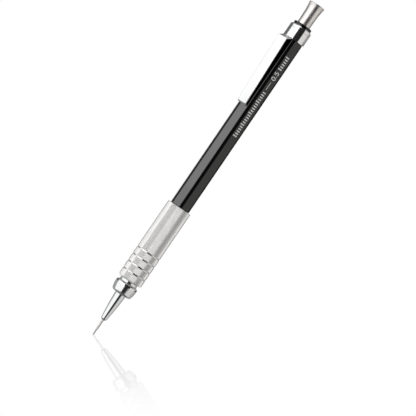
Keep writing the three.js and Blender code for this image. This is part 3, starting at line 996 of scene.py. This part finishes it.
# Above: the walls go on, and the back is dim.
ABOVE_STOPS = [
    (-180, 0.12, 0), (-140, 0.4, 0), (-100, 0.7, 0), (-80, 0.4, 0), (-20, 0.5, 0), (-12, 0.04, 0),
    (45, 0.03, 0), (53, 0.06, 0.03), (100, 0.06, 0.03), (115, 0.8, 0.02), (150, 0.5, 0), (180, 0.12, 0),
]
# Overhead: white on the left half, dark on the right.
ZENITH_STOPS = [
    (-180, 0.1, 0), (-160, 1.1, 0), (-12, 1.1, 0), (0, 0.03, 0), (150, 0.03, 0), (180, 0.1, 0),
]
# Each layer of the room above the lowest: its ramp, and the heights between which it takes over.
LAYERS = (
    (LOWER_STOPS, -42, -28), (LAMP_STOPS, -1.7, -0.7), (LEVEL_STOPS, 5.1, 5.7),
    (ABOVE_STOPS, 26, 36), (ZENITH_STOPS, 64, 69),
)
BACKDROP_EDGE = (15, 12)  # a white backdrop stands straight behind, out to these angles


def make_world():
    """A white room for the camera, and a studio that turns with the camera for reflections."""
    world = bpy.data.worlds.new("studio")
    bpy.context.scene.world = world
    world.use_nodes = True
    tree = world.node_tree
    tree.nodes.clear()
    ray = add_node(tree, "ShaderNodeTexCoord").outputs["Generated"]
    forward = add_node(tree, "ShaderNodeVectorTransform", vector_type="VECTOR",
                       convert_from="CAMERA", convert_to="WORLD")
    forward.inputs[0].default_value = (0, 0, 1)
    flat = vector_math(tree, "MULTIPLY", forward.outputs[0], (1, 1, 0))
    ahead = vector_math(tree, "NORMALIZE", flat)
    rightward = vector_math(tree, "CROSS_PRODUCT", ahead, (0, 0, 1))
    to_right = vector_math(tree, "DOT_PRODUCT", ray, rightward)
    to_camera = scalar_math(tree, "MULTIPLY", vector_math(tree, "DOT_PRODUCT", ray, ahead), -1.0)
    turn = scalar_math(tree, "ARCTAN2", to_right, to_camera)
    turn = scalar_math(tree, "MULTIPLY_ADD", turn, 1 / TAU, 0.5)
    height = vector_math(tree, "DOT_PRODUCT", ray, (0, 0, 1))
    room = sweep_ramp(tree, turn, BELOW_STOPS, BRIGHTEST)
    for stops, start, end in LAYERS:
        climb = add_node(tree, "ShaderNodeMapRange", interpolation_type="SMOOTHSTEP")
        climb.inputs["From Min"].default_value = math.sin(math.radians(start))
        climb.inputs["From Max"].default_value = math.sin(math.radians(end))
        tree.links.new(height, climb.inputs["Value"])
        layered = add_node(tree, "ShaderNodeMix", data_type="RGBA")
        tree.links.new(climb.outputs[0], layered.inputs["Factor"])
        tree.links.new(room, layered.inputs["A"])
        tree.links.new(sweep_ramp(tree, turn, stops, BRIGHTEST), layered.inputs["B"])
        room = layered.outputs["Result"]
    room = vector_math(tree, "MULTIPLY", room, (BRIGHTEST,) * 3)

    behind = add_node(tree, "ShaderNodeMapRange", interpolation_type="SMOOTHSTEP")
    behind.inputs["From Min"].default_value = math.cos(math.radians(BACKDROP_EDGE[0]))
    behind.inputs["From Max"].default_value = math.cos(math.radians(BACKDROP_EDGE[1]))
    away = vector_math(tree, "DOT_PRODUCT", ray, vector_math(tree, "NORMALIZE", forward.outputs[0]))
    tree.links.new(away, behind.inputs["Value"])
    backdrop = add_node(tree, "ShaderNodeMix", data_type="RGBA")
    tree.links.new(behind.outputs[0], backdrop.inputs["Factor"])
    tree.links.new(room, backdrop.inputs["A"])
    backdrop.inputs["B"].default_value = (1, 1, 1, 1)

    seen = add_node(tree, "ShaderNodeMix", data_type="RGBA")
    path = add_node(tree, "ShaderNodeLightPath")
    tree.links.new(path.outputs["Is Camera Ray"], seen.inputs["Factor"])
    tree.links.new(backdrop.outputs["Result"], seen.inputs["A"])
    seen.inputs["B"].default_value = (1, 1, 1, 1)
    background = add_node(tree, "ShaderNodeBackground")
    tree.links.new(seen.outputs["Result"], background.inputs["Color"])
    output = add_node(tree, "ShaderNodeOutputWorld")
    tree.links.new(background.outputs[0], output.inputs["Surface"])


# Each strip's direction in degrees from the camera, its width in metres, and its power in watts.
STRIP_LAMPS = ((-112, 0.62, 2.0), (15, 0.62, 2.8), (124, 0.3, 0.85))
STRIP_HEIGHT = 0.9  # in metres, as are the next two
STRIP_DISTANCE = 0.5
STRIP_CENTRE = 0.04  # above the writing point


def make_strip_lamps(lit):
    """Tall soft strips that light the given pieces only."""
    receivers = bpy.data.collections.new("lit_by_strips")
    for piece in lit:
        receivers.objects.link(piece)
    right, back = across()
    for degrees, width, watts in STRIP_LAMPS:
        turn = math.radians(degrees)
        direction = back * math.cos(turn) + right * math.sin(turn)
        data = bpy.data.lights.new("strip_lamp", "AREA")
        data.shape = "RECTANGLE"
        data.size, data.size_y = width, STRIP_HEIGHT
        data.energy = watts
        lamp = bpy.data.objects.new("strip_lamp", data)
        side = Vector((0, 0, 1)).cross(direction)
        aim = Matrix((side, Vector((0, 0, 1)), direction)).transposed()
        place = Vector((0, 0, STRIP_CENTRE)) + direction * STRIP_DISTANCE
        lamp.matrix_world = Matrix.Translation(place) @ aim.to_4x4()
        lamp.light_linking.receiver_collection = receivers
        lamp.visible_camera = False
        bpy.context.scene.collection.objects.link(lamp)


TABLE_SIZE = 0.6  # from the writing point to each edge, in metres
TABLE_DROP = 0.02  # how far the table lies below the writing point, in mm
MIRROR_STRENGTH = 0.46
MIRROR_FADES = (120 * MM, 310 * MM)  # where the mirror image starts to fade, and where it is gone


def make_floor():
    """The table top under the writing point, level in the picture: clear but for a faint mirror image.

    The room behind it is white to the camera, so the table looks white too.
    """
    up = picture_up()
    _, back = across()
    side = up.cross(back)
    bm = bmesh.new()
    corners = []
    for x, y in ((-1, -1), (1, -1), (1, 1), (-1, 1)):
        corners.append(side * x * TABLE_SIZE + back * y * TABLE_SIZE)
    bm.faces.new([bm.verts.new(corner - up * TABLE_DROP * MM) for corner in corners])
    floor = new_object("table_top", bm, [])
    if floor.data.polygons[0].normal.dot(up) < 0:
        floor.data.flip_normals()
    material = bpy.data.materials.new("white_table")
    material.use_nodes = True
    tree = material.node_tree
    tree.nodes.clear()
    clear = add_node(tree, "ShaderNodeBsdfTransparent")
    mirror = add_node(tree, "ShaderNodeBsdfGlossy")
    mirror.inputs["Color"].default_value = (1, 1, 1, 1)
    mirror.inputs["Roughness"].default_value = 0.02
    view = add_node(tree, "ShaderNodeLayerWeight")
    grazing = scalar_math(tree, "POWER", view.outputs["Facing"], 8.0)
    place = add_node(tree, "ShaderNodeTexCoord").outputs["Object"]
    fade = add_node(tree, "ShaderNodeMapRange", interpolation_type="SMOOTHSTEP")
    fade.inputs["From Min"].default_value = MIRROR_FADES[0]
    fade.inputs["From Max"].default_value = MIRROR_FADES[1]
    fade.inputs["To Min"].default_value = MIRROR_STRENGTH
    fade.inputs["To Max"].default_value = 0.0
    tree.links.new(vector_math(tree, "LENGTH", place), fade.inputs["Value"])
    path = add_node(tree, "ShaderNodeLightPath")
    geometry = add_node(tree, "ShaderNodeNewGeometry")
    front = scalar_math(tree, "SUBTRACT", 1.0, geometry.outputs["Backfacing"])
    shown = scalar_math(tree, "MULTIPLY", path.outputs["Is Camera Ray"], front)
    share = scalar_math(tree, "MULTIPLY", scalar_math(tree, "MULTIPLY", grazing, fade.outputs[0]), shown)
    surface = add_node(tree, "ShaderNodeMixShader")
    tree.links.new(share, surface.inputs["Fac"])
    tree.links.new(clear.outputs[0], surface.inputs[1])
    tree.links.new(mirror.outputs[0], surface.inputs[2])
    output = add_node(tree, "ShaderNodeOutputMaterial")
    tree.links.new(surface.outputs[0], output.inputs["Surface"])
    floor.data.materials.append(material)


def set_view():
    scene = bpy.context.scene
    scene.view_settings.view_transform = "Standard"
    scene.view_settings.look = "None"


# ------------------------------------------------------------------ build

make_tip()
make_leads()
grip = make_grip()
make_barrel()
lead_size = make_print()
make_mechanism()
make_rear()
make_clip()
make_world()
make_strip_lamps([grip, lead_size])
make_floor()
make_camera()
set_view()
